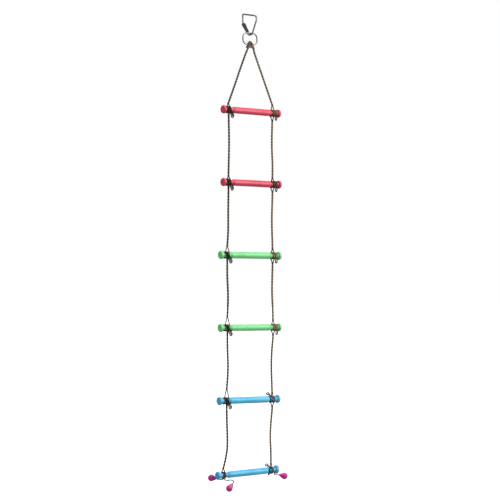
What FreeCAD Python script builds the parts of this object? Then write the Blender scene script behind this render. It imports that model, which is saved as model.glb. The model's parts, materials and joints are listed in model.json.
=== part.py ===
"""Rope ladder: six moulded rungs tied into a doubled rope that hangs from a ring in a snap hook.

Millimetres. X runs along the rungs, -Y is the front, +Z is up. The origin is the bearing point:
the underside of the hook's top bar, on the upright line through the ring and the ladder.
"""

import FreeCAD, Part
import math
import os
import re

import Sketcher
from FreeCAD import Placement, Rotation, Vector

# ---------------------------------------------------------------- driving dimensions

DIMENSIONS = {
    "RungHalf": 153.0,
    "RungKnobStart": 142.0,
    "RungNeckEnd": 139.5,
    "RungNeckStart": 102.0,
    "RungBodyHalf": 96.0,
    "RungBodyRadius": 13.5,
    "RungNeckRadius": 10.0,
    "RungKnobRadius": 17.0,
    "RungKnobRound": 5.0,
    "RungNeckRound": 3.0,
    "RungPitch": 300.0,
    "FirstRungDrop": 401.0,
    "RopeSpacing": 230.0,
    "StrandRadius": 2.5,
    "HitchClose": 24.0,
    "HitchFoot": 38.5,
    "FoldDrop": 44.0,
    "HookWireRadius": 3.25,
    "HookDrop": 81.0,
    "HookYaw": -65.0,
    "LugRadius": 6.5,
    "LugThickness": 4.0,
    "RivetRadius": 2.0,
    "RivetHeadRadius": 3.4,
    "RivetHeadTop": 6.4,
    "RivetHeadUnder": 5.15,
    "RivetHeadRound": 0.8,
    "GateWidth": 10.0,
    "GateInside": 7.2,
    "GateHole": 2.06,
    "GateBack": 6.5,
    "GateTip": 38.0,
    "GateOuter": 5.4,
    "GateHeel": 5.8,
    "GateBelly": 8.5,
    "GateFlare": 9.0,
    "GateShoulder": 26.0,
    "GateWebHeel": 4.4,
    "GateWebBelly": 7.1,
    "GateWebStart": 9.5,
    "GateOver": 45.0,
    "GateRound": 4.8,
    "SpringWireRadius": 0.5,
    "SpringCoilRadius": 3.1,
    "SpringLegRound": 1.5,
    "SpringSide": 2.8,
    "RingWireRadius": 3.0,
    "RingWidth": 74.0,
    "RingHeight": 47.0,
    "RingCorner": 20.0,
    "StopperRadius": 14.0,
    "StopperTip": 24.0,
    "StopperTipRadius": 4.0,
    "StopperBoreRadius": 2.6,
    "StopperBoreDepth": 15.5,
    "Clearance": 0.3,
}

RUNGS = range(1, 7)
SIDES = {"left": -1, "right": 1}

# How each rung hangs: its turn about the upright, the drop of its right end, how far its ropes sway
# along X, and how far it sits along its ropes' ties. Degrees and millimetres.
RUNG_YAW = {1: 1.5, 2: 0.5, 3: -3.0, 4: -3.5, 5: -3.0, 6: -3.0}
RUNG_TILT = {1: 0.0, 2: 0.0, 3: 0.0, 4: 0.0, 5: 0.0, 6: -2.0}
RUNG_SWAY = {1: 6.0, 2: 5.5, 3: 0.5, 4: 2.0, 5: -2.0, 6: -7.5}
RUNG_SHIFT = {1: 0.0, 2: 2.0, 3: 0.5, 4: -2.0, 5: -4.0, 6: -6.0}

# Where the two strands part above each rung, over the rung's axis.
TENT = {
    "left": {1: 21.0, 2: 21.0, 3: 33.0, 4: 44.0, 5: 46.0, 6: 24.0},
    "right": {1: 30.0, 2: 24.0, 3: 27.0, 4: 30.0, 5: 21.0, 6: 21.0},
}
FIRST_TENT_LEAN = {"left": -3.0, "right": -1.0}

# How much further out than half the ropes' spacing a tie sits.
TIE_OUT = {
    "left": {1: 5.0, 2: 4.0, 3: 0.0, 4: 0.0, 5: 0.0, 6: 11.0},
    "right": {1: 0.0, 2: 0.0, 3: 0.0, 4: 0.0, 5: 0.0, 6: 0.0},
}

# Each run of rope between two rungs: (share of the way down, offset along X, offset along Y).
BOWS = {
    "left": {
        2: [(0.24, 1.6, -0.8), (0.52, 3.0, 0.6), (0.77, 1.8, 1.0)],
        3: [(0.27, 0.9, 0.8), (0.55, 3.2, 1.2), (0.78, 2.9, -0.5)],
        4: [(0.22, -1.2, -1.0), (0.50, 2.6, -1.6), (0.76, 4.0, 0.8)],
        5: [(0.25, 2.6, 1.5), (0.52, 7.0, 2.4), (0.77, 5.6, 1.0)],
        6: [(0.23, 4.3, -1.2), (0.50, 11.7, -2.0), (0.76, 14.0, -1.0)],
    },
    "right": {
        2: [(0.23, -1.6, 0.8), (0.50, -3.0, -0.6), (0.78, 0.8, -1.0)],
        3: [(0.22, -2.2, -0.8), (0.48, -3.4, 0.6), (0.75, -1.0, 1.2)],
        4: [(0.25, -2.0, 0.9), (0.52, -3.0, 1.6), (0.78, -1.2, -0.6)],
        5: [(0.24, -7.0, -1.6), (0.50, -9.0, -2.4), (0.76, -4.4, -1.0)],
        6: [(0.25, -4.6, 1.2), (0.49, -6.0, 2.2), (0.77, -0.8, 1.0)],
    },
}

doc = FreeCAD.newDocument("RopeLadder")
sheet = doc.addObject("Spreadsheet::Sheet", "Dimensions")
for row, (alias, value) in enumerate(DIMENSIONS.items(), start=1):
    sheet.set(f"A{row}", alias)
    sheet.set(f"B{row}", str(value))
    sheet.setAlias(f"B{row}", alias)
doc.recompute()

PARTS = []


def size(alias):
    return float(sheet.get(alias))


def bind(obj, **expressions):
    """Binds properties to expressions written in the sheet's words."""
    for name, text in expressions.items():
        obj.setExpression(name, in_sheet(text))


def in_sheet(text):
    return re.sub(r"\b[A-Z]\w+", r"Dimensions.\g<0>", text)


def hand_in(obj, label):
    obj.Label = label
    PARTS.append(obj)
    return obj


def solid_feature(label, shape):
    feature = doc.addObject("Part::Feature", label)
    feature.Shape = shape
    return hand_in(feature, label)


# ---------------------------------------------------------------- paths and tubes


def half_turn(before, corner, after):
    return (corner - before).getAngle(after - corner) / 2


def corner_radii(points, radii, closed):
    """Each corner's arc: the thing's own size where it is named, else the gentlest its runs leave."""
    count = len(points)
    corners = range(count) if closed else range(1, count - 1)
    halves = {
        i: half_turn(points[i - 1], points[i], points[(i + 1) % count]) for i in corners
    }
    trims = {i: radii[i] * math.tan(halves[i]) for i in radii}
    for i in corners:
        if i not in radii:
            rooms = []
            for j in (i - 1, (i + 1) % count):
                run = (points[j] - points[i]).Length
                rooms.append(0.92 * (run - trims[j]) if j in radii else 0.45 * run)
            trims[i] = min(rooms)
    return {i: (trims[i], trims[i] / math.tan(halves[i]), halves[i]) for i in corners}


def rounded_wire(points, radii=None, closed=False):
    """Straight runs joined by tangent arcs. radii names the corners whose arc is a thing's own size."""
    count = len(points)
    arcs = {}
    for i, (trim, radius, half) in corner_radii(points, radii or {}, closed).items():
        before, corner, after = points[i - 1], points[i], points[(i + 1) % count]
        inward = (corner - before).normalize()
        outward = (after - corner).normalize()
        sagitta = radius / math.cos(half) - radius
        arcs[i] = (
            corner - inward * trim,
            corner + (outward - inward).normalize() * sagitta,
            corner + outward * trim,
        )
    edges = []
    here = arcs[0][2] if closed else points[0]
    for i in list(range(1, count)) + ([0] if closed else []):
        start = arcs[i][0] if i in arcs else points[i]
        if (start - here).Length > 1e-3:
            edges.append(Part.LineSegment(here, start).toShape())
        if i in arcs:
            edges.append(Part.Arc(*arcs[i]).toShape())
            here = arcs[i][2]
    return Part.Wire(edges)


def tube(label, points, radius, radii=None):
    """A round solid along a rounded wire; it prints the rope's facts."""
    wire = rounded_wire(points, radii)
    profile = Part.Wire(Part.makeCircle(radius, points[0], points[1] - points[0]))
    solid = wire.makePipeShell([profile], True, False)
    arcs = [edge.Curve.Radius for edge in wire.Edges if isinstance(edge.Curve, Part.Circle)]
    least = f"{min(arcs):.1f}" if arcs else "none"
    share = solid.Volume / (math.pi * radius**2 * wire.Length)
    print(f"{label}: length {wire.Length:.0f}, least radius {least}, volume share {share:.4f}")
    return solid


# ---------------------------------------------------------------- sketched bodies


def profile_sketch(body, name, role, corners):
    """A closed outline of straight sides; each corner's X and Y is a word of the sheet, or its minus."""
    sketch = body.newObject("Sketcher::SketchObject", name)
    plane = next(f for f in body.Origin.OriginFeatures if f.Role == role)
    sketch.AttachmentSupport = [(plane, "")]
    sketch.MapMode = "FlatFace"
    places = [Vector(word_value(x), word_value(y), 0) for x, y in corners]
    count = len(places)
    for i in range(count):
        sketch.addGeometry(Part.LineSegment(places[i], places[(i + 1) % count]), False)
    for i in range(count):
        sketch.addConstraint(Sketcher.Constraint("Coincident", i, 2, (i + 1) % count, 1))
    for i, corner in enumerate(corners):
        for kind, word, value in zip(("DistanceX", "DistanceY"), corner, places[i]):
            if word == "0":
                axis = -2 if kind == "DistanceX" else -1
                sketch.addConstraint(Sketcher.Constraint("PointOnObject", i, 1, axis))
            else:
                index = sketch.addConstraint(Sketcher.Constraint(kind, -1, 1, i, 1, value))
                sketch.renameConstraint(index, f"{kind}{i}")
                sketch.setExpression(f"Constraints.{kind}{i}", in_sheet(word))
    return sketch


def word_value(word):
    if word == "0":
        return 0.0
    return -size(word[1:]) if word.startswith("-") else size(word)


def revolved(body, sketch, name):
    turned = body.newObject("PartDesign::Revolution", name)
    turned.Profile = sketch
    turned.ReferenceAxis = (sketch, ["H_Axis"])
    turned.Angle = 360
    doc.recompute()
    return turned


def edge_circles(shape, radius, places):
    """The names of the circular edges of one radius that lie at the given places along X."""
    return [
        f"Edge{i}"
        for i, edge in enumerate(shape.Edges, start=1)
        if isinstance(edge.Curve, Part.Circle)
        and abs(edge.Curve.Radius - radius) < 1e-3
        and any(abs(edge.Curve.Center.x - x) < 1e-3 for x in places)
    ]


def rounded(body, base, edges, alias, name):
    fillet = body.newObject("PartDesign::Fillet", name)
    fillet.Base = (base, edges)
    bind(fillet, Radius=alias)
    doc.recompute()
    return fillet


# ---------------------------------------------------------------- frames


def rung_height(number):
    return -size("FirstRungDrop") - size("RungPitch") * (number - 1)


def rung_frame(number):
    """Where a rung's ties are: near the upright line, turned a little about it."""
    turn = Rotation(Vector(0, 0, 1), RUNG_YAW[number])
    tilt = Rotation(Vector(0, 1, 0), RUNG_TILT[number])
    return Placement(Vector(RUNG_SWAY[number], 0, rung_height(number)), turn * tilt)


def tie_frame(number, side):
    reach = size("RopeSpacing") / 2 + TIE_OUT[side][number]
    return rung_frame(number) * Placement(Vector(SIDES[side] * reach, 0, 0), Rotation())


UPRIGHT = Rotation(Vector(1, 0, 0), 90)
HOOK_FRAME = Placement(
    Vector(0, 0, -size("HookDrop")), Rotation(Vector(0, 0, 1), size("HookYaw")) * UPRIGHT
)

# ---------------------------------------------------------------- the snap hook

HOOK_CORNERS = [
    (-29.4, 42.0),
    (-33.4, 52.0),
    (-34.4, 89.4),
    (30.4, 77.6),
    (29.4, 58.0),
    (9.0, 0.0),
    (-9.0, 0.0),
    (-12.4, 12.2),
]
HOOK_ROUNDS = {1: 10.0, 2: 5.0, 3: 10.0, 4: 14.0, 5: 8.0, 6: 8.0}
LUG_PLACE = Vector(-14.0, 17.0, 0.0)
GATE_ANGLE = 121.6


def swept_wire(name, corners, radii, alias, frame, closed=False):
    """A bent round wire, swept along its path in the frame's XY plane."""
    flat = rounded_wire([Vector(x, y, 0) for x, y in corners], radii, closed)
    path = doc.addObject("Part::Feature", name + "_path")
    path.Shape = flat
    path.Placement = frame
    section = doc.addObject("Part::Circle", name + "_section")
    bind(section, Radius=alias)
    start = flat.Edges[0]
    along = start.tangentAt(start.FirstParameter)
    section.Placement = frame * Placement(
        start.valueAt(start.FirstParameter), Rotation(Vector(0, 0, 1), along)
    )
    sweep = doc.addObject("Part::Sweep", name + "_sweep")
    sweep.Sections = [section]
    sweep.Spine = (path, [f"Edge{i + 1}" for i in range(len(flat.Edges))])
    sweep.Solid = True
    doc.recompute()
    return sweep


def cylinder(name, radius, height, frame):
    """A cylinder centred on the frame's origin, along its Z."""
    made = doc.addObject("Part::Cylinder", name)
    bind(made, Radius=radius, Height=height)
    doc.recompute()
    made.Placement = frame * Placement(Vector(0, 0, -made.Height.Value / 2), Rotation())
    return made


def joined(kind, name, base, tool):
    made = doc.addObject(kind, name)
    made.Base = base
    made.Tool = tool
    doc.recompute()
    return made


def hook_frame():
    wire = swept_wire("hook", HOOK_CORNERS, HOOK_ROUNDS, "HookWireRadius", HOOK_FRAME)
    at_lug = HOOK_FRAME * Placement(LUG_PLACE, Rotation())
    eye = cylinder("hook_eye", "LugRadius", "LugThickness", at_lug)
    hole = cylinder("hook_hole", "GateHole", "GateWidth", at_lug)
    body = joined("Part::Fuse", "hook_body", wire, eye)
    hand_in(joined("Part::Cut", "hook_frame", body, hole), "hook_frame")


def gate_frame():
    """X runs from the rivet to the nose, Y into the hook's opening."""
    return HOOK_FRAME * Placement(LUG_PLACE, Rotation(Vector(0, 0, 1), GATE_ANGLE)) * Placement(
        Vector(), Rotation(Vector(1, 0, 0), 180)
    )


def gate():
    """A pressed channel: two cheeks and a web towards the opening, so that the nose lies in it."""
    body = doc.addObject("PartDesign::Body", "gate_pressing")
    outline = [
        ("-GateBack", "-GateOuter"),
        ("GateTip", "-GateOuter"),
        ("GateTip", "GateBelly"),
        ("GateShoulder", "GateBelly"),
        ("GateFlare", "GateHeel"),
        ("-GateBack", "GateHeel"),
    ]
    blank = profile_sketch(body, "gate_outline", "XY_Plane", outline)
    pad = body.newObject("PartDesign::Pad", "gate_pad")
    pad.Profile = blank
    pad.SideType = "Symmetric"
    bind(pad, Length="GateWidth")
    doc.recompute()
    upright = [
        f"Edge{i}"
        for i, edge in enumerate(pad.Shape.Edges, start=1)
        if isinstance(edge.Curve, Part.Line)
        and abs(edge.tangentAt(edge.FirstParameter).z) > 0.99
        and (edge.CenterOfMass.x < 0 or edge.CenterOfMass.x > size("GateShoulder") + 1)
    ]
    ends = rounded(body, pad, upright, "GateRound", "gate_ends")
    before = ends.Shape.Volume
    channel = [
        ("-GateOver", "-GateOver"),
        ("GateOver", "-GateOver"),
        ("GateOver", "GateWebBelly"),
        ("GateShoulder", "GateWebBelly"),
        ("GateWebStart", "GateWebHeel"),
        ("GateWebStart", "GateOver"),
        ("-GateOver", "GateOver"),
    ]
    cut = body.newObject("PartDesign::Pocket", "gate_channel")
    cut.Profile = profile_sketch(body, "gate_channel_outline", "XY_Plane", channel)
    cut.SideType = "Symmetric"
    bind(cut, Length="GateInside")
    doc.recompute()
    assert cut.Shape.Volume < 0.8 * before, "the gate's channel cut nothing"
    body.Tip = cut
    bore = cylinder("gate_hole", "GateHole", "GateOver", Placement())
    gate_body = joined("Part::Cut", "gate_bored", body, bore)
    gate_body.Placement = gate_frame()
    hand_in(gate_body, "gate")


def gate_rivet():
    body = doc.addObject("PartDesign::Body", "gate_rivet")
    outline = [
        ("-RivetHeadTop", "0"),
        ("-RivetHeadTop", "RivetHeadRadius"),
        ("-RivetHeadUnder", "RivetHeadRadius"),
        ("-RivetHeadUnder", "RivetRadius"),
        ("RivetHeadUnder", "RivetRadius"),
        ("RivetHeadUnder", "RivetHeadRadius"),
        ("RivetHeadTop", "RivetHeadRadius"),
        ("RivetHeadTop", "0"),
    ]
    sketch = profile_sketch(body, "rivet_profile", "XZ_Plane", outline)
    turned = revolved(body, sketch, "rivet_turned")
    heads = edge_circles(
        turned.Shape, size("RivetHeadRadius"), (-size("RivetHeadTop"), size("RivetHeadTop"))
    )
    rounded(body, turned, heads, "RivetHeadRound", "rivet_heads")
    body.Placement = gate_frame() * Placement(Vector(), Rotation(Vector(0, 1, 0), 90))
    hand_in(body, "gate_rivet")


SPRING_HALF = [(3.2, 1.0), (3.2, -3.2), (-3.2, -3.2), (-3.2, 3.2), (16.0, 3.2)]


def gate_spring():
    """A double torsion spring: a coil on each side of the eye, joined by a leg under the web."""
    side = size("SpringSide")
    route = [Vector(x, y, side) for x, y in SPRING_HALF]
    route += [Vector(x, y, -side) for x, y in reversed(SPRING_HALF)]
    radii = dict.fromkeys((1, 2, 3, 6, 7, 8), size("SpringCoilRadius"))
    radii.update(dict.fromkeys((4, 5), size("SpringLegRound")))
    spring = tube("gate_spring", route, size("SpringWireRadius"), radii)
    feature = solid_feature("gate_spring", spring)
    feature.Placement = gate_frame()


# ---------------------------------------------------------------- the ring


def ring_top():
    return -size("HookDrop") + size("HookWireRadius") + size("RingWireRadius") + size("Clearance")


def ring_bottom():
    return ring_top() - size("RingHeight")


def ring():
    x, y = size("RingWidth") / 2, size("RingHeight") / 2
    corners = [(-x, y), (x, y), (x, -y), (-x, -y)]
    radii = dict.fromkeys(range(4), size("RingCorner"))
    frame = Placement(Vector(0, 0, (ring_top() + ring_bottom()) / 2), UPRIGHT)
    hand_in(swept_wire("ring", corners, radii, "RingWireRadius", frame, closed=True), "ring")


# ---------------------------------------------------------------- rungs


def rung(number):
    body = doc.addObject("PartDesign::Body", f"rung_{number}")
    half = [
        ("RungHalf", "0"),
        ("RungHalf", "RungKnobRadius"),
        ("RungKnobStart", "RungKnobRadius"),
        ("RungNeckEnd", "RungNeckRadius"),
        ("RungNeckStart", "RungNeckRadius"),
        ("RungBodyHalf", "RungBodyRadius"),
    ]
    outline = [("-" + x, r) for x, r in half] + list(reversed(half))
    sketch = profile_sketch(body, f"rung_{number}_profile", "XZ_Plane", outline)
    turned = revolved(body, sketch, f"rung_{number}_turned")
    ends = (-size("RungHalf"), size("RungHalf"))
    knobs = edge_circles(turned.Shape, size("RungKnobRadius"), ends)
    soft = rounded(body, turned, knobs, "RungKnobRound", f"rung_{number}_knobs")
    places = [s * size(a) for a in ("RungNeckEnd", "RungNeckStart") for s in (-1, 1)]
    necks = edge_circles(soft.Shape, size("RungNeckRadius"), places)
    rounded(body, soft, necks, "RungNeckRound", f"rung_{number}_necks")
    body.Placement = rung_frame(number) * Placement(Vector(RUNG_SHIFT[number], 0, 0), Rotation())
    hand_in(body, f"rung_{number}")


# ---------------------------------------------------------------- rope

# The routes below are in a tie's own frame: X along the rung, its origin on the rung's axis.
# WRAP is a strand's centre line round the neck, PAIR half the gap between the two strands' centre
# lines, and the collars reach this far below and above the point where the strands part.
WRAP = DIMENSIONS["RungNeckRadius"] + DIMENSIONS["StrandRadius"] + DIMENSIONS["Clearance"]
PAIR = 2.6
COLLAR_BELOW = 1.5
COLLAR_ABOVE = 3.0
LAST_STRAND_DROP = 15.0


def turned_about(points):
    """The same route, half a turn round the upright."""
    return [Vector(-p.x, -p.y, p.z) for p in points]


# Where along the rung each strand is, from the parting above the neck to the meeting below it.
STRAND_STEPS = {
    "left": (4.0, 3.4, 1.2, -1.2, -4.5, -6.0),
    "right": (0.0, 0.5, 1.8, 3.0, 4.6, 6.0),
}


def strand_route(side, tent, lean, close):
    """The front strand: down the front, a full turn round the neck, and down the front again."""
    w = WRAP
    steps = STRAND_STEPS[side]
    rounds = [(-w, 6.0), (-w, -w), (w, -w), (w, w), (-w, w), (-w, -7.0)]
    route = [Vector(lean, -PAIR, tent)]
    route += [Vector(x, y, z) for x, (y, z) in zip(steps, rounds)]
    if close:
        return route + [Vector(0, -PAIR, -close)]
    return route[:-1] + [Vector(steps[-1], -w, -LAST_STRAND_DROP)]


STRAND_ROUNDS = {i: 0.96 * WRAP for i in (2, 3, 4, 5)}


def bight_route(shape):
    """A slack bight of the hitch: two legs that come round the neck, and the loop they end in."""
    w = WRAP
    loops = {
        "across": [
            (-9.4, 0, -w),
            (-9.4, w, -w),
            (-9.4, w, w),
            (-9.4, -w, w),
            (-4.6, -17.2, -0.6),
            (2.2, -19.0, -9.0),
            (8.6, -18.6, -16.8),
            (13.2, -17.0, -24.2),
            (11.8, -15.2, -32.6),
            (3.8, -14.8, -33.8),
            (0.8, -16.6, -26.0),
            (-5.4, -18.6, -16.0),
            (-12.0, -17.4, -6.2),
            (-14.6, -w, w),
            (-14.6, w, w),
            (-14.6, w, -w),
            (-14.6, 0, -w),
        ],
        "down": [
            (9.4, 0, -w),
            (9.4, w, -w),
            (9.4, w, w),
            (9.4, -w, w),
            (6.8, -17.0, -2.0),
            (4.8, -17.8, -13.0),
            (3.6, -16.4, -21.6),
            (4.0, -14.8, -30.0),
            (11.4, -14.6, -30.6),
            (11.6, -16.2, -22.4),
            (11.2, -17.6, -13.4),
            (12.4, -17.0, -2.4),
            (14.6, -w, w),
            (14.6, w, w),
            (14.6, w, -w),
            (14.6, 0, -w),
        ],
        "up": [
            (-8.8, 0, -w),
            (-8.8, w, -w),
            (-8.9, w, 10.0),
            (-9.2, 6.0, 21.0),
            (-15.0, 4.4, 26.6),
            (-21.5, 3.0, 27.4),
            (-28.6, 3.0, 23.0),
            (-28.0, -4.6, 18.4),
            (-21.0, -3.0, 21.8),
            (-16.4, -6.0, 19.6),
            (-14.8, -w, 12.0),
            (-14.6, -w, -w),
            (-14.4, 0, -w),
        ],
    }
    route = [Vector(*p) for p in loops[shape]]
    turns = [1, -2] if shape == "up" else [1, 2, 3, -4, -3, -2]
    radii = {i % len(route): 0.96 * w for i in turns}
    if shape != "up":
        radii.update({3: 0.8 * w, len(route) - 4: 0.8 * w})
    return route, radii


# The rope's tucked end, which fills the bights that lie across the neck.
TUCKED_END = [
    (-12.0, -13.4, 4.4),
    (-8.4, -17.4, -3.4),
    (-1.6, -18.8, -12.6),
    (4.8, -18.2, -20.8),
    (7.8, -16.6, -28.2),
]

BIGHT_SHAPES = {
    "left": {1: "across", 2: "across", 3: "across", 4: "across", 5: "across"},
    "right": {1: "down", 2: "down", 3: "down", 4: "down", 5: "up", 6: "up"},
}


def collar(low, high, lean):
    """The doubled rope's envelope where its two strands part or meet."""
    return Part.makeCylinder(2 * size("StrandRadius"), high - low, Vector(lean, 0, low))


def hitch(number, side):
    """The two strands round a rung's neck, with the slack bight: one solid."""
    label = f"{side}_hitch_{number}"
    tent = TENT[side][number]
    lean = -SIDES[side] * FIRST_TENT_LEAN[side] if number == 1 else 0.0
    last = number == RUNGS[-1]
    close = 0 if last else size("HitchClose")
    radius = size("StrandRadius")
    front = strand_route(side, tent, lean, close)
    back = turned_about(strand_route(side, tent, -lean, close))
    pieces = [
        tube(label + " front strand", front, radius, STRAND_ROUNDS),
        tube(label + " back strand", back, radius, STRAND_ROUNDS),
        collar(tent - COLLAR_BELOW, tent + COLLAR_ABOVE, lean),
    ]
    if not last:
        pieces.append(collar(-size("HitchFoot"), 1.0 - close, 0.0))
    if number in BIGHT_SHAPES[side]:
        route, radii = bight_route(BIGHT_SHAPES[side][number])
        pieces.append(tube(label + " bight", route, radius, radii))
        if BIGHT_SHAPES[side][number] == "across":
            tucked = [Vector(*p) for p in TUCKED_END]
            pieces.append(tube(label + " tucked end", tucked, radius))
    shape = pieces[0].fuse(pieces[1:])
    feature = solid_feature(label, shape)
    feature.Placement = tie_frame(number, side)


def rope_run(number, side):
    """The doubled rope from the fold under one rung to the parting above the next."""
    label = f"{side}_rope_{number}"
    top = tie_frame(number - 1, side).multVec(Vector(0, 0, -size("FoldDrop")))
    end = tie_frame(number, side).multVec(Vector(0, 0, TENT[side][number] + COLLAR_ABOVE))
    middle = [top + (end - top) * s + Vector(dx, dy, 0) for s, dx, dy in BOWS[side][number]]
    rope = tube(label, [top] + middle + [end], 2 * size("StrandRadius"))
    head = Part.makeSphere(2 * size("StrandRadius"), top)
    solid_feature(label, rope.fuse(head))


BRIDLE_TOP = Vector(21.0, -2.0, -33.0)


def bridle_leg(side):
    sign = SIDES[side]
    top = Vector(sign * BRIDLE_TOP.x, BRIDLE_TOP.y, ring_bottom() + BRIDLE_TOP.z)
    lean = Vector(-sign * FIRST_TENT_LEAN[side], 0, TENT[side][1] + COLLAR_ABOVE)
    end = tie_frame(1, side).multVec(lean)
    label = f"{side}_bridle"
    solid_feature(label, tube(label, [top, end], 2 * size("StrandRadius")))


def ring_hitch():
    """A cow hitch of the doubled rope on the ring: four passes over the wire and a band in front."""
    w = size("RingWireRadius") + size("StrandRadius") + size("Clearance") + 0.1
    low = BRIDLE_TOP.z
    halves = {
        "outer": [
            (-23.6, -2.0, low),
            (-12.8, -w - 0.4, -9.0),
            (-6.8, -w, w + 2.0),
            (-6.8, w, w + 2.0),
            (-10.4, w + 0.6, -7.4),
            (-17.6, 4.6, -12.4),
            (-19.0, -7.0, -15.0),
            (-9.0, -12.6, -14.6),
        ],
        "inner": [
            (-18.4, -2.0, low),
            (-8.0, -w - 0.4, -9.0),
            (-1.8, -w, w + 7.2),
            (-1.8, w, w + 7.2),
            (-4.6, w + 0.6, -6.4),
            (-12.6, 4.4, -7.6),
            (-15.4, -7.2, -9.4),
            (-8.0, -12.6, -9.2),
        ],
    }
    strands = []
    for name, half in halves.items():
        route = [Vector(*p) for p in half] + [Vector(-x, y, z) for x, y, z in reversed(half)]
        turns = {i: 0.96 * w for i in (2, 3, len(route) - 3, len(route) - 4)}
        strands.append(tube("ring_hitch " + name, route, size("StrandRadius"), turns))
    shape = strands[0].fuse(strands[1])
    feature = solid_feature("ring_hitch", shape)
    feature.Placement = Placement(Vector(0, 0, ring_bottom()), Rotation())


# ---------------------------------------------------------------- the free ends

# Each end: which strand it is, its points after the tie, and its stopper's centre.
TAILS = {
    "left_front": {
        "route": [
            (8.0, -19.4, -20.6),
            (24.0, -21.8, -19.6),
            (33.6, -22.6, -24.0),
            (34.2, -22.4, -31.4),
        ],
        "centre": (15.0, -18.0, -54.0),
    },
    "left_back": {
        "route": [(1.0, 21.0, -20.4), (-8.0, 27.6, -16.0)],
        "centre": (-39.0, 32.0, -10.0),
    },
    "right_front": {
        "route": [(11.0, -19.4, -19.8), (17.0, -23.2, -18.4)],
        "centre": (46.0, -30.0, -26.0),
    },
    "right_back": {
        "route": [(-2.4, 20.6, -22.8), (10.4, 27.4, -19.4), (27.6, 31.6, -10.6)],
        "centre": (56.3, 42.6, -1.0),
    },
}
TAIL_HINGE = 17.8


def tail_points(name):
    """The free end's route, and the stopper's centre and axis, in the last rung's tie frame."""
    outward = 1 if name.endswith("front") else -1
    along = STRAND_STEPS[name.split("_")[0]][-1]
    start = Vector(along * outward, -WRAP * outward, -TAIL_HINGE)
    middle = [Vector(*p) for p in TAILS[name]["route"]]
    centre = Vector(*TAILS[name]["centre"])
    axis = (middle[-1] - centre).normalize()
    end = centre + axis * (size("StopperTip") - size("StopperBoreDepth") + 0.5)
    return [start] + middle + [end], centre, axis


def tail(name):
    side = name.split("_")[0]
    label = f"{name}_tail"
    points, _, _ = tail_points(name)
    radius = size("StrandRadius")
    rope = tube(label, points, radius).fuse(Part.makeSphere(radius, points[0]))
    feature = solid_feature(label, rope)
    feature.Placement = tie_frame(RUNGS[-1], side)


def stopper(name):
    """A teardrop bead: a ball with a tapered throat, bored for the rope's end."""
    side = name.split("_")[0]
    label = f"{name}_stopper"
    ball = doc.addObject("Part::Sphere", label + "_ball")
    bind(ball, Radius="StopperRadius")
    reach = math.hypot(size("StopperTip"), size("StopperTipRadius"))
    tilt = math.asin(size("StopperRadius") / reach) - math.atan2(
        size("StopperTipRadius"), size("StopperTip")
    )
    throat = doc.addObject("Part::Cone", label + "_throat")
    base = size("StopperRadius") * math.sin(tilt)
    throat.Radius1 = size("StopperRadius") * math.cos(tilt)
    bind(throat, Radius2="StopperTipRadius")
    throat.Height = size("StopperTip") - base
    throat.Placement = Placement(Vector(0, 0, base), Rotation())
    drop = joined("Part::Fuse", label + "_drop", ball, throat)
    bore = doc.addObject("Part::Cylinder", label + "_bore")
    bind(bore, Radius="StopperBoreRadius", Height="StopperBoreDepth + StopperBoreRadius")
    bore.Placement = Placement(
        Vector(0, 0, size("StopperTip") - size("StopperBoreDepth")), Rotation()
    )
    bead = joined("Part::Cut", label + "_bead", drop, bore)
    _, centre, axis = tail_points(name)
    bead.Placement = tie_frame(RUNGS[-1], side) * Placement(
        centre, Rotation(Vector(0, 0, 1), axis)
    )
    hand_in(bead, label)


# ---------------------------------------------------------------- the whole

hook_frame()
gate()
gate_rivet()
gate_spring()
ring()
ring_hitch()
for number in RUNGS:
    rung(number)
for side in SIDES:
    bridle_leg(side)
    for number in RUNGS:
        hitch(number, side)
        if number > 1:
            rope_run(number, side)
for name in TAILS:
    tail(name)
    stopper(name)
doc.recompute()

failed = [o.Name for o in doc.Objects if "Invalid" in o.State or "Error" in o.State]
assert not failed, failed
for obj in PARTS:
    assert not obj.Shape.isNull() and obj.Shape.isValid(), obj.Label
    assert len(obj.Shape.Solids) == 1, (obj.Label, len(obj.Shape.Solids))

os.makedirs("parts", exist_ok=True)
for obj in PARTS:
    obj.Shape.exportStep(f"parts/{obj.Label}.step")
print(f"{len(PARTS)} parts")
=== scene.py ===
"""Rope ladder: the looks. Metres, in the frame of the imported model: X along the rungs, -Y the front."""

import json
import math

import bmesh
import bpy
import numpy as np
from mathutils import Euler, Matrix, Vector


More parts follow.
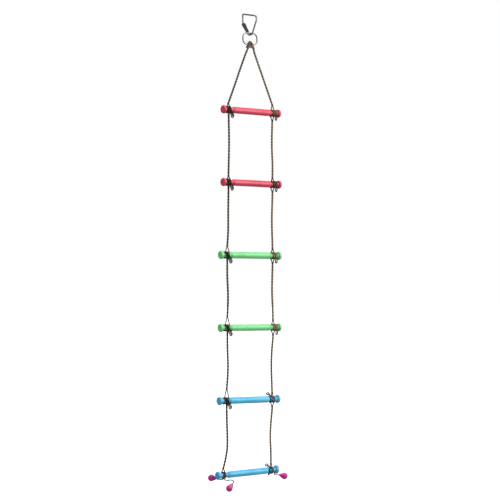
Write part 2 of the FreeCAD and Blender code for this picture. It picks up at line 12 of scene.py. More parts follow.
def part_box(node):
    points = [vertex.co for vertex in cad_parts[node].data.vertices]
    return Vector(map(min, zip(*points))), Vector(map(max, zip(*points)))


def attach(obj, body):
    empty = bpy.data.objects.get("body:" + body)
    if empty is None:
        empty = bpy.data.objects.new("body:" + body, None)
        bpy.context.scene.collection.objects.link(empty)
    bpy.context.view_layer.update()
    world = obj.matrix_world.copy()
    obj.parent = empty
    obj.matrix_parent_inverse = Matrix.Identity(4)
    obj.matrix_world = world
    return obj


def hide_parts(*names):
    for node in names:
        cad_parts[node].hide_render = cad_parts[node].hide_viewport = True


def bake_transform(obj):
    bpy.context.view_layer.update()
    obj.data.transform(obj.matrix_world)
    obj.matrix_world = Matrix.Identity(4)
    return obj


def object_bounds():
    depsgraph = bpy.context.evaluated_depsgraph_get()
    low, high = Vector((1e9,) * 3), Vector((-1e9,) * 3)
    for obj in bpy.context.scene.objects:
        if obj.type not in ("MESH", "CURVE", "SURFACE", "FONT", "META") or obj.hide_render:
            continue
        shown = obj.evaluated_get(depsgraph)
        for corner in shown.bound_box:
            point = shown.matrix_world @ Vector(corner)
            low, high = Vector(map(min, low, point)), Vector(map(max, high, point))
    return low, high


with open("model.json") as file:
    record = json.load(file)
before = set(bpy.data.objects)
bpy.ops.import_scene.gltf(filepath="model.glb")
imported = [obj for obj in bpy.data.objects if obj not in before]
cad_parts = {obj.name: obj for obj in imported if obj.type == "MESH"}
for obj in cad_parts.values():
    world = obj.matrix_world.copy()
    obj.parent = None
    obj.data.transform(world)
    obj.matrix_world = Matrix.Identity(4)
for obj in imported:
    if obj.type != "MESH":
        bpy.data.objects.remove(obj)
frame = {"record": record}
CAD_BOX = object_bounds()

RUNGS = range(1, 7)
SIDES = {"left": -1, "right": 1}

# ---------------------------------------------------------------- camera and light

VIEW_AZIMUTH = -38.0   # degrees round from the front
VIEW_PITCH = 1.53
VIEW_DISTANCE = 7.8
EYE_HEIGHT = -1.187
LENS = 135.1           # mm
SENSOR = 36.0
# Each light: where it is, what it faces, its width and height, its watts.
LIGHTS = {
    "key": ((2.6, -3.9, 0.7), (0, 0, -0.95), (1.8, 3.2), 160),
    "top": ((-0.2, -1.2, 2.8), (0, 0, -0.8), (2.4, 2.4), 92),
    "fill": ((-4.2, -2.2, 0.2), (0, 0, -1.0), (2.0, 3.2), 18),
    "back": ((0.6, 4.4, 0.6), (0, 0, -1.0), (3.0, 3.0), 40),
}
WHITE = (1, 1, 1, 1)
BACKDROP_SEEN = 1.0
BACKDROP_LIGHT = 0.34   # how brightly the backdrop lights the ladder
FLOOR_RADIUS = 400.0
FLOOR_DROP = 0.6        # below the lowest stopper


def camera():
    data = bpy.data.cameras.new("view")
    data.lens = LENS
    data.sensor_width = SENSOR
    eye = bpy.data.objects.new("view", data)
    turn = math.radians(VIEW_AZIMUTH)
    eye.location = (math.sin(turn) * VIEW_DISTANCE, -math.cos(turn) * VIEW_DISTANCE, EYE_HEIGHT)
    eye.rotation_euler = Euler((math.radians(90 + VIEW_PITCH), 0, turn), "XYZ")
    bpy.context.collection.objects.link(eye)
    bpy.context.scene.camera = eye


def area_light(name, place, aim, size, power):
    data = bpy.data.lights.new(name, "AREA")
    data.shape = "RECTANGLE"
    data.size, data.size_y = size
    data.energy = power
    light = bpy.data.objects.new(name, data)
    light.location = place
    light.rotation_euler = (Vector(aim) - Vector(place)).to_track_quat("-Z", "Y").to_euler()
    bpy.context.collection.objects.link(light)


def studio():
    for name, (place, aim, size, power) in LIGHTS.items():
        area_light(name, place, aim, size, power)
    world = bpy.data.worlds.new("studio")
    world.use_nodes = True
    bpy.context.scene.world = world
    nodes, links = world.node_tree.nodes, world.node_tree.links
    nodes.clear()
    rays = nodes.new("ShaderNodeLightPath")
    mix = nodes.new("ShaderNodeMixShader")
    links.new(rays.outputs["Is Camera Ray"], mix.inputs["Fac"])
    for socket, strength in ((1, BACKDROP_LIGHT), (2, BACKDROP_SEEN)):
        backdrop = nodes.new("ShaderNodeBackground")
        backdrop.inputs["Color"].default_value = WHITE
        backdrop.inputs["Strength"].default_value = strength
        links.new(backdrop.outputs[0], mix.inputs[socket])
    links.new(mix.outputs[0], nodes.new("ShaderNodeOutputWorld").inputs["Surface"])
    bpy.context.scene.view_settings.view_transform = "Standard"


def floor():
    mesh = bpy.data.meshes.new("floor")
    build = bmesh.new()
    bmesh.ops.create_circle(build, cap_ends=True, segments=96, radius=FLOOR_RADIUS)
    build.to_mesh(mesh)
    build.free()
    mesh.transform(Matrix.Translation((0, 0, CAD_BOX[0].z - FLOOR_DROP)))
    piece = bpy.data.objects.new("floor", mesh)
    bpy.context.collection.objects.link(piece)
    paint = bpy.data.materials.new("floor")
    paint.use_nodes = True
    shader = paint.node_tree.nodes["Principled BSDF"]
    shader.inputs["Base Color"].default_value = (0.96, 0.96, 0.96, 1)
    shader.inputs["Roughness"].default_value = 0.9
    shader.inputs["Emission Color"].default_value = WHITE
    shader.inputs["Emission Strength"].default_value = 1.0
    piece.data.materials.append(paint)
    piece.visible_diffuse = False
    piece.visible_glossy = False


# ---------------------------------------------------------------- where things are

# How each rung hangs out of line: degrees about Z and Y, and metres that it has slid along in its ties.
RUNG_YAW = {1: 1.5, 2: 0.5, 3: -3.0, 4: -3.5, 5: -3.0, 6: -3.0}
RUNG_TILT = {1: 0.0, 2: 0.0, 3: 0.0, 4: 0.0, 5: 0.0, 6: -2.0}
RUNG_SHIFT = {1: 0.0, 2: 0.002, 3: 0.0005, 4: -0.002, 5: -0.004, 6: -0.006}
ROPE_SPACING = 0.230
FOLD_DROP = 0.044               # from a rung down to the hinge of the fold under it
FOLD_HEAD = 0.037               # where a rope run starts, under its rung
STRAND = 0.0025                 # radius
NECK = 0.010
WRAP = NECK + STRAND + 0.0003   # centre line of a strand round a neck
PAIR = 0.0026                   # half the space between a pair's centre lines
TENT_LAP = 0.003                # a run ends this far above the tent, where its strands part
TENT_HEAD = 0.004               # and a hitch's strands start this far above it, inside the run
FIRST_TENT_LEAN = {"left": -0.003, "right": -0.001}   # outwards
# How far outside its usual place each tie sits.
TIE_OUT = {
    "left": {1: 0.005, 2: 0.004, 3: 0.0, 4: 0.0, 5: 0.0, 6: 0.011},
    "right": {1: 0.0, 2: 0.0, 3: 0.0, 4: 0.0, 5: 0.0, 6: 0.0},
}
# Height of each tent above its rung's axis.
TENT = {
    "left": {1: 0.021, 2: 0.021, 3: 0.033, 4: 0.044, 5: 0.046, 6: 0.024},
    "right": {1: 0.030, 2: 0.024, 3: 0.027, 4: 0.030, 5: 0.021, 6: 0.021},
}
# How each run sways: share of its length, then X and Y off the straight line.
BOWS = {
    "left": {
        2: [(0.24, 0.0016, -0.0008), (0.52, 0.0030, 0.0006), (0.77, 0.0018, 0.0010)],
        3: [(0.27, 0.0009, 0.0008), (0.55, 0.0032, 0.0012), (0.78, 0.0029, -0.0005)],
        4: [(0.22, -0.0012, -0.0010), (0.50, 0.0026, -0.0016), (0.76, 0.0040, 0.0008)],
        5: [(0.25, 0.0026, 0.0015), (0.52, 0.0070, 0.0024), (0.77, 0.0056, 0.0010)],
        6: [(0.23, 0.0043, -0.0012), (0.50, 0.0117, -0.0020), (0.76, 0.0140, -0.0010)],
    },
    "right": {
        2: [(0.23, -0.0016, 0.0008), (0.50, -0.0030, -0.0006), (0.78, 0.0008, -0.0010)],
        3: [(0.22, -0.0022, -0.0008), (0.48, -0.0034, 0.0006), (0.75, -0.0010, 0.0012)],
        4: [(0.25, -0.0020, 0.0009), (0.52, -0.0030, 0.0016), (0.78, -0.0012, -0.0006)],
        5: [(0.24, -0.0070, -0.0016), (0.50, -0.0090, -0.0024), (0.76, -0.0044, -0.0010)],
        6: [(0.25, -0.0046, 0.0012), (0.49, -0.0060, 0.0022), (0.77, -0.0008, 0.0010)],
    },
}


def middle(node):
    low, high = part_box(node)
    return (Vector(low) + Vector(high)) / 2


def rung_turn(number):
    turn = Matrix.Rotation(math.radians(RUNG_YAW[number]), 4, "Z")
    return turn @ Matrix.Rotation(math.radians(RUNG_TILT[number]), 4, "Y")


def rung_frame(number):
    """Midway between a rung's ties, which the rung itself may have slid along."""
    shift = Matrix.Translation((-RUNG_SHIFT[number], 0, 0))
    return Matrix.Translation(middle(f"rung_{number}")) @ rung_turn(number) @ shift


def tie_frame(number, side):
    reach = ROPE_SPACING / 2 + TIE_OUT[side][number]
    return rung_frame(number) @ Matrix.Translation((SIDES[side] * reach, 0, 0))


def section(number):
    return "bridle" if number == 1 else f"section_{number}"


# ---------------------------------------------------------------- rope

TONE = {"left": 0.85, "right": 1.7, "bight": 0.20, "ring": 1.5}   # paler above 1: painted light and shade, the right rope and the ring hitch paler as painted light, the left rope darker, the bights darker as painted shade
LAY = 0.0145            # one turn of a strand's three plies
TWIST = 0.025           # one turn of the pair
PAIR_OFFSET = 0.0019    # from the pair's line to each strand's
PAIR_STRAND = 0.0030    # outer radius of a strand in the pair
RING_STEP = 0.0010      # between a strand's rings of vertices
SECOND_START = 0.004    # the second strand's lay runs this far ahead
PLACE_SCALE = 40        # of the distance along a strand, in the fibre noise
PLY_OFFSET = 0.46       # of the strand's radius
PLY_SIZE = 0.54
SIDES_PER_STRAND = 18


def nurbs_line(points):
    """The points of one smooth NURBS line that the route's points control."""
    curve = bpy.data.curves.new("route", "CURVE")
    curve.dimensions = "3D"
    spline = curve.splines.new("NURBS")
    spline.points.add(len(points) - 1)
    for place, point in zip(spline.points, points):
        place.co = (*point, 1.0)
    spline.order_u = 3
    spline.use_endpoint_u = True
    reach = sum((Vector(b) - Vector(a)).length for a, b in zip(points, points[1:]))
    spline.resolution_u = max(4, math.ceil(reach / RING_STEP / (len(points) - 2)))
    holder = bpy.data.objects.new("route", curve)
    bpy.context.collection.objects.link(holder)
    line = bpy.data.meshes.new_from_object(holder)
    found = np.array([vertex.co for vertex in line.vertices])
    bpy.data.objects.remove(holder)
    bpy.data.curves.remove(curve)
    bpy.data.meshes.remove(line)
    apart = np.linalg.norm(np.diff(found, axis=0), axis=1)
    return found[np.concatenate(([True], apart > 1e-6))]


def travelled(line):
    steps = np.linalg.norm(np.diff(line, axis=0), axis=1)
    return np.concatenate(([0.0], np.cumsum(steps)))


def unit(vectors):
    return vectors / np.linalg.norm(vectors, axis=-1, keepdims=True)


def carried_frames(line, across):
    """Two directions across the line at each point, carried along it without twist."""
    along = unit(np.gradient(line, axis=0))
    first = np.zeros_like(line)
    held = np.array(across, float)
    for i, way in enumerate(along):
        held = held - way * held.dot(way)
        held = held / np.linalg.norm(held)
        first[i] = held
    return first, np.cross(along, first)


def strand_mesh(line, radius, start):
    """A laid strand of three plies along a line: vertices, faces, their depth and place on the strand."""
    across = (0.0, 1.0, 0.0) if abs(unit(line[1] - line[0])[1]) < 0.9 else (1.0, 0.0, 0.0)
    first, second = carried_frames(line, across)
    s = travelled(line) + start
    turn = np.arange(SIDES_PER_STRAND) * 2 * math.pi / SIDES_PER_STRAND
    from_ply = (turn + math.pi / 3) % (2 * math.pi / 3) - math.pi / 3
    profile = PLY_OFFSET * np.cos(from_ply) + np.sqrt(PLY_SIZE**2 - (PLY_OFFSET * np.sin(from_ply)) ** 2)
    angle = turn[None, :] + (2 * math.pi * s / LAY)[:, None]
    ring = profile[None, :] * radius
    verts = (
        line[:, None, :]
        + (ring * np.cos(angle))[..., None] * first[:, None, :]
        + (ring * np.sin(angle))[..., None] * second[:, None, :]
    ).reshape(-1, 3)
    rows, cols = len(line), SIDES_PER_STRAND
    i, j = np.meshgrid(np.arange(rows - 1), np.arange(cols), indexing="ij")
    right = (j + 1) % cols
    quads = np.stack([i * cols + j, i * cols + right, (i + 1) * cols + right, (i + 1) * cols + j], -1)
    faces = quads.reshape(-1, 4).tolist()
    faces.append(list(range(cols))[::-1])
    faces.append(list(range((rows - 1) * cols, rows * cols)))
    depth = np.tile(profile, rows)
    around = np.tile(turn, rows)
    along = np.repeat(s, cols) * PLACE_SCALE
    return verts, faces, depth, np.stack([np.cos(around), np.sin(around), along], -1)


def rope_piece(name, strands, material, tones):
    """One object of several strands, each a (line, radius, start) triple, and how pale each one is: painted
    light and shade.
    """
    verts, faces, depth, place, tone, count = [], [], [], [], [], 0
    for (line, radius, start), pale in zip(strands, tones):
        v, f, d, p = strand_mesh(line, radius, start)
        tone.append(np.repeat(np.broadcast_to(pale, len(line)), SIDES_PER_STRAND))
        verts.append(v)
        faces += [[k + count for k in face] for face in f]
        depth.append(d)
        place.append(p)
        count += len(v)
    mesh = bpy.data.meshes.new(name)
    mesh.from_pydata(np.concatenate(verts).tolist(), [], faces)
    mesh.attributes.new("ply_depth", "FLOAT", "POINT").data.foreach_set("value", np.concatenate(depth))
    mesh.attributes.new("tone", "FLOAT", "POINT").data.foreach_set("value", np.concatenate(tone))
    spot = mesh.attributes.new("ply_place", "FLOAT_VECTOR", "POINT")
    spot.data.foreach_set("vector", np.concatenate(place).ravel())
    mesh.polygons.foreach_set("use_smooth", [True] * len(mesh.polygons))
    mesh.materials.append(material)
    piece = bpy.data.objects.new(name, mesh)
    bpy.context.collection.objects.link(piece)
    return piece


def twisted_pair(line, begin, end):
    """Two strands' lines turning round one line, apart along begin at its start and along end at its end."""
    first, second = carried_frames(line, begin)
    s = travelled(line)
    target = math.atan2(np.dot(end, second[-1]), np.dot(end, first[-1]))
    wanted = 2 * math.pi * s[-1] / TWIST
    turn = target + math.pi * round((wanted - target) / math.pi)
    angle = turn * s / s[-1]
    out = np.cos(angle)[:, None] * first + np.sin(angle)[:, None] * second
    return line + out * PAIR_OFFSET, line - out * PAIR_OFFSET


def pair_piece(name, side, line, begin, end, material):
    """The doubled rope along a line."""
    first, second = twisted_pair(line, begin, end)
    strands = [(first, PAIR_STRAND, 0), (second, PAIR_STRAND, SECOND_START)]
    return rope_piece(name + "_laid", strands, material, [TONE[side]] * 2)


def placed(points, place):
    return [tuple(place @ Vector(p)) for p in points]


def across_rung(number):
    return np.array(rung_frame(number).to_3x3() @ Vector((0, -1, 0)))


def rope_runs(material):
    """The doubled rope between the rungs; its first centimetres bend at the fold under the rung above."""
    for side in SIDES:
        for number in list(RUNGS)[1:]:
            above, below = tie_frame(number - 1, side), tie_frame(number, side)
            top = above @ Vector((0, 0, -FOLD_DROP))
            end = below @ Vector((0, 0, TENT[side][number] + TENT_LAP))
            between = [top.lerp(end, s) + Vector((x, y, 0)) for s, x, y in BOWS[side][number]]
            start = above @ Vector((0, 0, -FOLD_HEAD))
            line = nurbs_line([tuple(p) for p in [start, top] + between + [end]])
            name = f"{side}_rope_{number}"
            piece = pair_piece(name, side, line, across_rung(number - 1), across_rung(number), material)
            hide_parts(name)
            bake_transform(piece)


BRIDLE_TOP = Vector((0.021, -0.002, -0.033))   # from the axis of the ring's lowest wire
# Share of a bridle's length, then X outwards and Y off the straight line.
BRIDLE_BOWS = [(0.34, 0.0006, 0.0008), (0.68, -0.0005, -0.0006)]
RING_WIRE = 0.003                              # radius


def ring_bottom():
    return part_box("ring")[0][2] + RING_WIRE


def bridle(material):
    for side, sign in SIDES.items():
        top = Vector((sign * BRIDLE_TOP.x, BRIDLE_TOP.y, ring_bottom() + BRIDLE_TOP.z))
        lean = Vector((-sign * FIRST_TENT_LEAN[side], 0, TENT[side][1] + TENT_LAP))
        end = tie_frame(1, side) @ lean
        between = [top.lerp(end, s) + Vector((sign * x, y, 0)) for s, x, y in BRIDLE_BOWS]
        line = nurbs_line([tuple(p) for p in [top] + between + [end]])
        name = f"{side}_bridle"
        piece = pair_piece(name, side, line, np.array((1.0, 0, 0)), across_rung(1), material)
        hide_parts(name)
        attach(piece, "bridle")


HITCH_CLOSE = 0.024   # under the rung, where the strands close up again
HITCH_FOOT = 0.0376   # where they lap into the run below
# X of a strand at each corner of its way round the neck.
STRAND_STEPS = {
    "left": (0.0040, 0.0034, 0.0012, -0.0012, -0.0045, -0.0060),
    "right": (0.0, 0.0005, 0.0018, 0.0030, 0.0046, 0.0060),
}


def strand_route(side, tent, lean, last):
    """One strand from where the run above ends, once round the neck, to the run below or its tail."""
    w = WRAP
    rounds = [(-w, 0.0060), (-w, -w), (w, -w), (w, w), (-w, w), (-w, -0.0150 if last else -0.0070)]
    route = [(lean, -PAIR, tent + TENT_HEAD), (lean, -PAIR, tent)]
    route += [(x, y, z) for x, (y, z) in zip(STRAND_STEPS[side], rounds)]
    if last:
        return route
    return route + [(0.0, -PAIR, -HITCH_CLOSE), (0.0, -PAIR, -HITCH_FOOT)]


def turned_about(points):
    return [(-x, -y, z) for x, y, z in points]


# Slack loops from under the neck: across the front, down from it, or up beside the rope.
BIGHTS = {
    "across": [
        (-0.0094, 0.0, -WRAP), (-0.0094, WRAP, -WRAP), (-0.0094, WRAP, WRAP), (-0.0094, -WRAP, WRAP),
        (-0.0046, -0.0172, -0.0006), (0.0022, -0.0190, -0.0090), (0.0086, -0.0186, -0.0168),
        (0.0132, -0.0170, -0.0242), (0.0118, -0.0152, -0.0326), (0.0038, -0.0148, -0.0338),
        (0.0008, -0.0166, -0.0260), (-0.0054, -0.0186, -0.0160), (-0.0120, -0.0174, -0.0062),
        (-0.0146, -WRAP, WRAP), (-0.0146, WRAP, WRAP), (-0.0146, WRAP, -WRAP), (-0.0146, 0.0, -WRAP),
    ],
    "down": [
        (0.0094, 0.0, -WRAP), (0.0094, WRAP, -WRAP), (0.0094, WRAP, WRAP), (0.0094, -WRAP, WRAP),
        (0.0068, -0.0170, -0.0020), (0.0048, -0.0178, -0.0130), (0.0036, -0.0164, -0.0216),
        (0.0040, -0.0148, -0.0300), (0.0114, -0.0146, -0.0306), (0.0116, -0.0162, -0.0224),
        (0.0112, -0.0176, -0.0134), (0.0124, -0.0170, -0.0024), (0.0146, -WRAP, WRAP),
        (0.0146, WRAP, WRAP), (0.0146, WRAP, -WRAP), (0.0146, 0.0, -WRAP),
    ],
    "up": [
        (-0.0088, 0.0, -WRAP), (-0.0088, WRAP, -WRAP), (-0.0089, WRAP, 0.0100), (-0.0092, 0.0060, 0.0210),
        (-0.0150, 0.0044, 0.0266), (-0.0215, 0.0030, 0.0274), (-0.0286, 0.0030, 0.0230),
        (-0.0280, -0.0046, 0.0184), (-0.0210, -0.0030, 0.0218), (-0.0164, -0.0060, 0.0196),
        (-0.0148, -WRAP, 0.0120), (-0.0146, -WRAP, -WRAP), (-0.0144, 0.0, -WRAP),
    ],
}
BIGHT_SHAPES = {
    "left": {1: "across", 2: "across", 3: "across", 4: "across", 5: "across"},
    "right": {1: "down", 2: "down", 3: "down", 4: "down", 5: "up", 6: "up"},
}
# A strand's end tucked inside the bight across the front.
TUCKED_END = [
    (-0.0120, -0.0134, 0.0044), (-0.0084, -0.0174, -0.0034), (-0.0016, -0.0188, -0.0126),
    (0.0048, -0.0182, -0.0208), (0.0078, -0.0166, -0.0282),
]
# How pale the strands are under, on and over each neck: painted light and shade, set tie by tie.
HITCH_TONES = {
    "left": {1: (0.8, 0.5, 0.6), 2: (0.8, 0.5, 0.6), 3: (0.8, 2.0, 1.8), 4: (0.8, 1.9, 1.6),
             5: (0.8, 1.7, 1.8), 6: (0.8, 0.9, 0.7)},
    "right": {1: (0.7, 1.8, 1.3), 2: (0.5, 0.8, 0.6), 3: (0.5, 2.6, 0.6), 4: (0.5, 2.6, 0.7),
              5: (0.6, 1.8, 0.9), 6: (0.8, 1.6, 0.9)},
}
TONE_HEIGHTS = (-0.016, 0.0, 0.016)
BIGHT_HEIGHTS = (-0.014, -0.002)   # painted shade below the first; above the second, as pale as the neck's painted light where the bight hangs down
LAY_STEP = 0.005                   # between the starts of the strands' lays


def hitches(material):
    for side, sign in SIDES.items():
        for number in RUNGS:
            place = tie_frame(number, side)
            lean = -sign * FIRST_TENT_LEAN[side] if number == 1 else 0.0
            last = number == RUNGS[-1]
            tent = TENT[side][number]
            routes = [
                strand_route(side, tent, lean, last),
                turned_about(strand_route(side, tent, -lean, last)),
            ]
            shape = BIGHT_SHAPES[side].get(number)
            if shape:
                routes.append(BIGHTS[shape])
            if shape == "across":
                routes.append(TUCKED_END)
            lines = [nurbs_line(placed(route, place)) for route in routes]
            strands = [(line, STRAND, LAY_STEP * i) for i, line in enumerate(lines)]
            name = f"{side}_hitch_{number}"
            # Painted light and shade by height about the rung's axis: the two strands take the neck's tones,
            # the bights and the tucked end darker below the neck.
            heights = [line[:, 2] - place.translation.z for line in lines]
            neck_tones = HITCH_TONES[side][number]
            bight_top_tone = neck_tones[1] if shape == "down" else TONE["bight"]
            tones = [np.interp(height, TONE_HEIGHTS, neck_tones) for height in heights[:2]]
            tones += [np.interp(height, BIGHT_HEIGHTS, (TONE["bight"], bight_top_tone)) for height in heights[2:]]
            piece = rope_piece(name + "_strands", strands, material, tones)
            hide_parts(name)
            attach(piece, section(number))


RING_WRAP = 0.0059   # centre line of a strand round the ring's wire


def ring_hitch(material):
    """A cow hitch: each strand rises from one bridle, loops the wire, crosses and falls to the other."""
    w = RING_WRAP
    low = BRIDLE_TOP.z
    halves = [
        [
            (-0.0236, -0.0020, low), (-0.0128, -w - 0.0004, -0.0090), (-0.0068, -w, w + 0.0020),
            (-0.0068, w, w + 0.0020), (-0.0104, w + 0.0006, -0.0074), (-0.0176, 0.0046, -0.0124),
            (-0.0190, -0.0070, -0.0150), (-0.0090, -0.0126, -0.0146),
        ],
        [
            (-0.0184, -0.0020, low), (-0.0080, -w - 0.0004, -0.0090), (-0.0018, -w, w + 0.0072),
            (-0.0018, w, w + 0.0072), (-0.0046, w + 0.0006, -0.0064), (-0.0126, 0.0044, -0.0076),
            (-0.0154, -0.0072, -0.0094), (-0.0080, -0.0126, -0.0092),
        ],
    ]
    place = Matrix.Translation((0, 0, ring_bottom()))
    strands = []
    for half in halves:
        route = half + [(-x, y, z) for x, y, z in reversed(half)]
        strands.append((nurbs_line(placed(route, place)), STRAND, SECOND_START * len(strands)))
    piece = rope_piece("ring_hitch_strands", strands, material, [TONE["ring"]] * 2)
    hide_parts("ring_hitch")
    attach(piece, "bridle")


# Each free end's route from its tie, and the middle of its stopper's ball.
TAILS = {
    "left_front": ([(0.0080, -0.0194, -0.0206), (0.0240, -0.0218, -0.0196), (0.0336, -0.0226, -0.0240),
                    (0.0342, -0.0224, -0.0314)], (0.0150, -0.0180, -0.0540)),
    "left_back": ([(0.0010, 0.0210, -0.0204), (-0.0080, 0.0276, -0.0160)], (-0.0390, 0.0320, -0.0100)),
    "right_front": ([(0.0110, -0.0194, -0.0198), (0.0170, -0.0232, -0.0184)], (0.0460, -0.0300, -0.0260)),
    "right_back": ([(-0.0024, 0.0206, -0.0228), (0.0104, 0.0274, -0.0194), (0.0276, 0.0316, -0.0106)],
                   (0.0563, 0.0426, -0.0010)),
}
TAIL_HINGE = 0.0178       # below the rung's axis
TAIL_HEAD = 0.004         # how far above the hinge a tail starts, inside its tie
STOPPER_RADIUS = 0.014
STOPPER_TIP = 0.024       # from the middle of the ball
TIP_RADIUS = 0.004
TIP_LIP = 0.0008          # rounding of the tip's rim
STOPPER_BORE = 0.0155     # depth
BORE_RADIUS = 0.0026
BORE_GAP = 0.0005         # from the cord's end to the bottom of its bore
POLE = 0.0001             # radius at which a turned form closes on its axis


def tail_axis(name):
    route, centre = TAILS[name]
    return (Vector(route[-1]) - Vector(centre)).normalized()


def tails(material, bead_material):
    for name, (route, centre) in TAILS.items():
        side = name.split("_")[0]
        outward = 1 if name.endswith("front") else -1
        place = tie_frame(RUNGS[-1], side)
        along = STRAND_STEPS[side][-1]
        start = (along * outward, -WRAP * outward, -TAIL_HINGE + TAIL_HEAD)
        hinge = (along * outward, -WRAP * outward, -TAIL_HINGE)
        end = Vector(centre) + tail_axis(name) * (STOPPER_TIP - STOPPER_BORE + BORE_GAP)
        line = nurbs_line(placed([start, hinge] + route + [tuple(end)], place))
        piece = rope_piece(name + "_tail_laid", [(line, STRAND, 0)], material, [TONE[side]])
        bead = stopper(name, place @ Matrix.Translation(centre), bead_material)
        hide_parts(name + "_tail")
        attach(piece, name + "_end")


# ---------------------------------------------------------------- turned and moulded pieces

SEAM_FADE = 0.004   # a moulding seam dies away on a smaller radius than this


def lathe(name, profile, segments, seam, seam_width):
    """A closed turned mesh about Z from (height, radius) points, with a low moulding seam on two sides."""
    angles = np.arange(segments) * 2 * math.pi / segments
    heights = np.array([p[0] for p in profile])
    radii = np.array([p[1] for p in profile])
    off = np.minimum(np.abs(angles), np.abs(angles - math.pi))
    off = np.minimum(off, np.abs(angles - 2 * math.pi))
    verts = []
    for height, radius in zip(heights, radii):
        rise = seam * np.exp(-((off * radius / seam_width) ** 2)) * min(1.0, radius / SEAM_FADE)
        r = radius + rise
        verts.append(np.stack([r * np.cos(angles), r * np.sin(angles), np.full(segments, height)], -1))
    rows = len(profile)
    i, j = np.meshgrid(np.arange(rows - 1), np.arange(segments), indexing="ij")
    right = (j + 1) % segments
    faces = np.stack([i * segments + j, i * segments + right,
                      (i + 1) * segments + right, (i + 1) * segments + j], -1).reshape(-1, 4).tolist()
    faces.append(list(range(segments))[::-1])
    faces.append(list(range((rows - 1) * segments, rows * segments)))
    mesh = bpy.data.meshes.new(name)
    mesh.from_pydata(np.concatenate(verts).tolist(), [], faces)
    mesh.polygons.foreach_set("use_smooth", [True] * len(mesh.polygons))
    piece = bpy.data.objects.new(name, mesh)
    bpy.context.collection.objects.link(piece)
    return piece


def rounded_profile(corners, rounds, steps=8):
    """(height, radius) points of an outline whose corners are arcs of the given radii."""
    found = []
    for i, corner in enumerate(corners):
        radius = rounds.get(i)
        here = Vector(corner)
        if not radius:
            found.append(tuple(here))
            continue
        inward = (here - Vector(corners[i - 1])).normalized()
        outward = (Vector(corners[i + 1]) - here).normalized()
        half = inward.angle(outward) / 2
        trim = radius * math.tan(half)
        begin, finish = here - inward * trim, here + outward * trim
        centre = here + (outward - inward).normalized() * (radius / math.cos(half))
        first, last = begin - centre, finish - centre
        for k in range(steps + 1):
            share = k / steps
            arm = (first * (1 - share) + last * share).normalized() * radius
            found.append(tuple(centre + arm))
    return found


RUNG_HALF = 0.153
KNOB_START = 0.142
KNOB_RADIUS = 0.017
NECK_END = 0.1395
NECK_START = 0.102
BODY_HALF = 0.096
BODY_RADIUS = 0.0135
END_DISH = 0.0006
DISH_RADII = (0.0060, 0.0085, 0.0098)   # flat floor, halfway up, and rim
# Rounding of the outline's corners, by their place in it from the end inwards.
RUNG_ROUNDS = {4: 0.005, 5: 0.0012, 6: 0.003, 7: 0.003, 8: 0.006}


def rungs(materials):
    floor_radius, slope_radius, rim_radius = DISH_RADII
    half = [
        (RUNG_HALF - END_DISH, POLE),
        (RUNG_HALF - END_DISH, floor_radius),
        (RUNG_HALF - END_DISH / 2, slope_radius),
        (RUNG_HALF, rim_radius),
        (RUNG_HALF, KNOB_RADIUS),
        (KNOB_START, KNOB_RADIUS),
        (NECK_END, NECK),
        (NECK_START, NECK),
        (BODY_HALF, BODY_RADIUS),
    ]
    outline = [(-x, r) for x, r in half] + list(reversed(half))
    rounds = RUNG_ROUNDS | {len(outline) - 1 - i: radius for i, radius in RUNG_ROUNDS.items()}
    profile = rounded_profile(outline, rounds)
    for number in RUNGS:
        name = f"rung_{number}"
        piece = lathe(name + "_moulding", profile, 96, seam=0.00018, seam_width=0.0007)
        centre = middle(name)
        turn = rung_turn(number) @ Matrix.Rotation(math.pi / 2, 4, "Y")
        piece.data.transform(Matrix.Translation(centre) @ turn)
        slot = next(s["material_slot"] for s in frame["record"]["subparts"] if s["node"] == name)
        piece.data.materials.append(materials[slot])
        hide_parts(name)
        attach(piece, section(number))


def stopper(name, place, material):
    reach = math.hypot(STOPPER_TIP, TIP_RADIUS)
    tilt = math.asin(STOPPER_RADIUS / reach) - math.atan2(TIP_RADIUS, STOPPER_TIP)
    steps = 28
    arc = [(-math.cos(a) * STOPPER_RADIUS, max(math.sin(a) * STOPPER_RADIUS, POLE))
           for a in (k / steps * (math.pi / 2 + tilt) for k in range(steps + 1))]
    lip = [(STOPPER_TIP - TIP_LIP, TIP_RADIUS), (STOPPER_TIP - TIP_LIP / 4, TIP_RADIUS - 0.0003),
           (STOPPER_TIP, TIP_RADIUS - TIP_LIP), (STOPPER_TIP, BORE_RADIUS + 0.0004),
           (STOPPER_TIP - 0.0006, BORE_RADIUS),
           (STOPPER_TIP - STOPPER_BORE, BORE_RADIUS), (STOPPER_TIP - STOPPER_BORE, POLE)]
    piece = lathe(name + "_bead", arc + lip, 72, seam=0.00015, seam_width=0.0006)
    axis = Vector((0, 0, 1)).rotation_difference(tail_axis(name)).to_matrix().to_4x4()
    piece.data.transform(place @ axis)
    piece.data.materials.append(material)
    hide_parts(name + "_stopper")
    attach(piece, name + "_end")
    return piece


# ---------------------------------------------------------------- materials


def new_material(name):
    material = bpy.data.materials.new(name)
    material.use_nodes = True
    tree = material.node_tree
    return material, tree, tree.nodes["Principled BSDF"]


def noise(tree, scale, detail, roughness=0.6, vector=None, stretch=None):
    texture = tree.nodes.new("ShaderNodeTexNoise")
    texture.inputs["Scale"].default_value = scale
    texture.inputs["Detail"].default_value = detail
    texture.inputs["Roughness"].default_value = roughness
    source = vector or tree.nodes.new("ShaderNodeTexCoord").outputs["Object"]
    if stretch:
        mapping = tree.nodes.new("ShaderNodeMapping")
        mapping.inputs["Scale"].default_value = stretch
        tree.links.new(source, mapping.inputs["Vector"])
        source = mapping.outputs["Vector"]
    tree.links.new(source, texture.inputs["Vector"])
    return texture.outputs["Fac"]


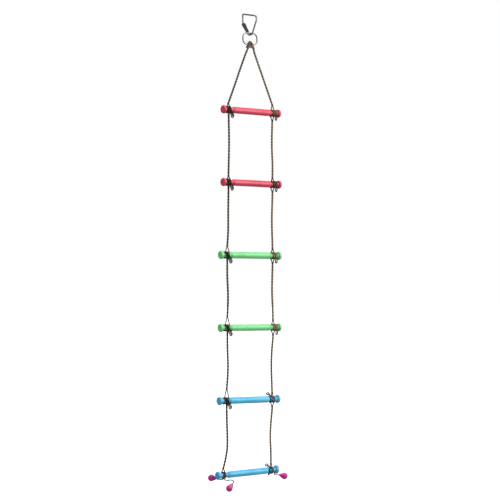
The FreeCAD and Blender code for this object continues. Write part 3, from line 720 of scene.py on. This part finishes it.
def ramp(tree, factor, stops):
    node = tree.nodes.new("ShaderNodeValToRGB")
    elements = node.color_ramp.elements
    while len(elements) < len(stops):
        elements.new(0.5)
    for element, (place, colour) in zip(elements, stops):
        element.position = place
        element.color = (*colour, 1)
    tree.links.new(factor, node.inputs["Fac"])
    return node.outputs["Color"]


def attribute(tree, name):
    node = tree.nodes.new("ShaderNodeAttribute")
    node.attribute_name = name
    return node.outputs


def multiplied(tree, first, *others):
    """The product of several colours."""
    for other in others:
        node = tree.nodes.new("ShaderNodeMix")
        node.data_type = "RGBA"
        node.blend_type = "MULTIPLY"
        node.inputs["Factor"].default_value = 1.0
        tree.links.new(first, node.inputs["A"])
        tree.links.new(other, node.inputs["B"])
        first = node.outputs["Result"]
    return first


def bump(tree, shader, height, strength, distance):
    node = tree.nodes.new("ShaderNodeBump")
    node.inputs["Strength"].default_value = strength
    node.inputs["Distance"].default_value = distance
    tree.links.new(height, node.inputs["Height"])
    tree.links.new(node.outputs["Normal"], shader.inputs["Normal"])


def rope_material():
    material, tree, shader = new_material("rope")
    fibres = noise(tree, 5.0, 6.0, 0.65, attribute(tree, "ply_place")["Vector"], (9.0, 9.0, 1.6))
    yarn = ramp(tree, fibres, [(0.30, (0.070, 0.052, 0.032)), (0.50, (0.130, 0.100, 0.064)),
                               (0.66, (0.210, 0.168, 0.115)), (0.80, (0.300, 0.250, 0.180))])
    patches = noise(tree, 22.0, 3.0)
    stain = ramp(tree, patches, [(0.35, (0.78, 0.75, 0.70)), (0.65, (1.10, 1.07, 1.02))])
    depth = attribute(tree, "ply_depth")["Fac"]
    shade = ramp(tree, depth, [(0.50, (0.38, 0.35, 0.31)), (0.78, (0.80, 0.78, 0.76)),
                               (0.98, (1.08, 1.08, 1.08))])
    # The tone attribute is painted light and shade, strand by strand.
    colour = multiplied(tree, yarn, stain, attribute(tree, "tone")["Color"], shade)
    tree.links.new(colour, shader.inputs["Base Color"])
    shader.inputs["Roughness"].default_value = 0.85
    shader.inputs["Specular IOR Level"].default_value = 0.25
    shader.inputs["Sheen Weight"].default_value = 0.04
    shader.inputs["Sheen Roughness"].default_value = 0.5
    bump(tree, shader, fibres, 0.7, 0.0004)
    return material


def gloss(tree, shader, scale, low, high):
    """Roughness that wanders between two values."""
    patches = noise(tree, scale, 6.0)
    tree.links.new(ramp(tree, patches, [(0.3, (low,) * 3), (0.7, (high,) * 3)]), shader.inputs["Roughness"])


def plastic_material(name, deep, body, pale, roughness=0.48, specular=0.95):
    material, tree, shader = new_material(name)
    cloud = noise(tree, 14.0, 4.0)
    colour = ramp(tree, cloud, [(0.30, deep), (0.52, body), (0.75, pale)])
    tree.links.new(colour, shader.inputs["Base Color"])
    gloss(tree, shader, 60.0, roughness - 0.06, roughness + 0.10)
    shader.inputs["Specular IOR Level"].default_value = specular
    shader.inputs["Subsurface Weight"].default_value = 0.12
    shader.inputs["Subsurface Radius"].default_value = (0.004, 0.003, 0.003)
    shader.inputs["Subsurface Scale"].default_value = 1.0
    bump(tree, shader, noise(tree, 420.0, 3.0), 0.15, 0.00008)
    return material


def metal_material(name, dark, light, roughness, metallic=1.0):
    material, tree, shader = new_material(name)
    streaks = noise(tree, 120.0, 8.0, 0.7, None, (1.0, 1.0, 0.22))
    tree.links.new(ramp(tree, streaks, [(0.32, dark), (0.68, light)]), shader.inputs["Base Color"])
    gloss(tree, shader, 240.0, roughness - 0.08, roughness + 0.12)
    shader.inputs["Metallic"].default_value = metallic
    bump(tree, shader, streaks, 0.25, 0.00008)
    return material


def dress(node, material):
    data = bpy.data.objects[node].data
    data.materials.clear()
    data.materials.append(material)


# ---------------------------------------------------------------- the whole

camera()
ROPE = rope_material()
PLASTICS = {
    name: plastic_material(name, *shades)
    for name, shades in {
        "red_plastic": ((0.62, 0.020, 0.058), (0.70, 0.030, 0.082), (0.77, 0.055, 0.125)),
        "green_plastic": ((0.14, 0.66, 0.19), (0.19, 0.75, 0.25), (0.27, 0.82, 0.32)),
        "blue_plastic": ((0.045, 0.44, 0.78), (0.075, 0.55, 0.87), (0.13, 0.64, 0.92)),
    }.items()
}
MAGENTA = plastic_material(
    "magenta_plastic", (0.56, 0.020, 0.24), (0.66, 0.030, 0.31), (0.76, 0.08, 0.42),
    roughness=0.34, specular=0.5,
)
STEEL = metal_material("steel", (0.17, 0.17, 0.19), (0.33, 0.33, 0.37), 0.38)
GATE_STEEL = metal_material("gate_steel", (0.06, 0.06, 0.085), (0.13, 0.13, 0.18), 0.45, 0.6)

bridle(ROPE)
rope_runs(ROPE)
tails(ROPE, MAGENTA)
hitches(ROPE)
ring_hitch(ROPE)
rungs(PLASTICS)
for node in ("hook_frame", "gate_rivet", "gate_spring", "ring"):
    dress(node, STEEL)
dress("gate", GATE_STEEL)
studio()
floor()
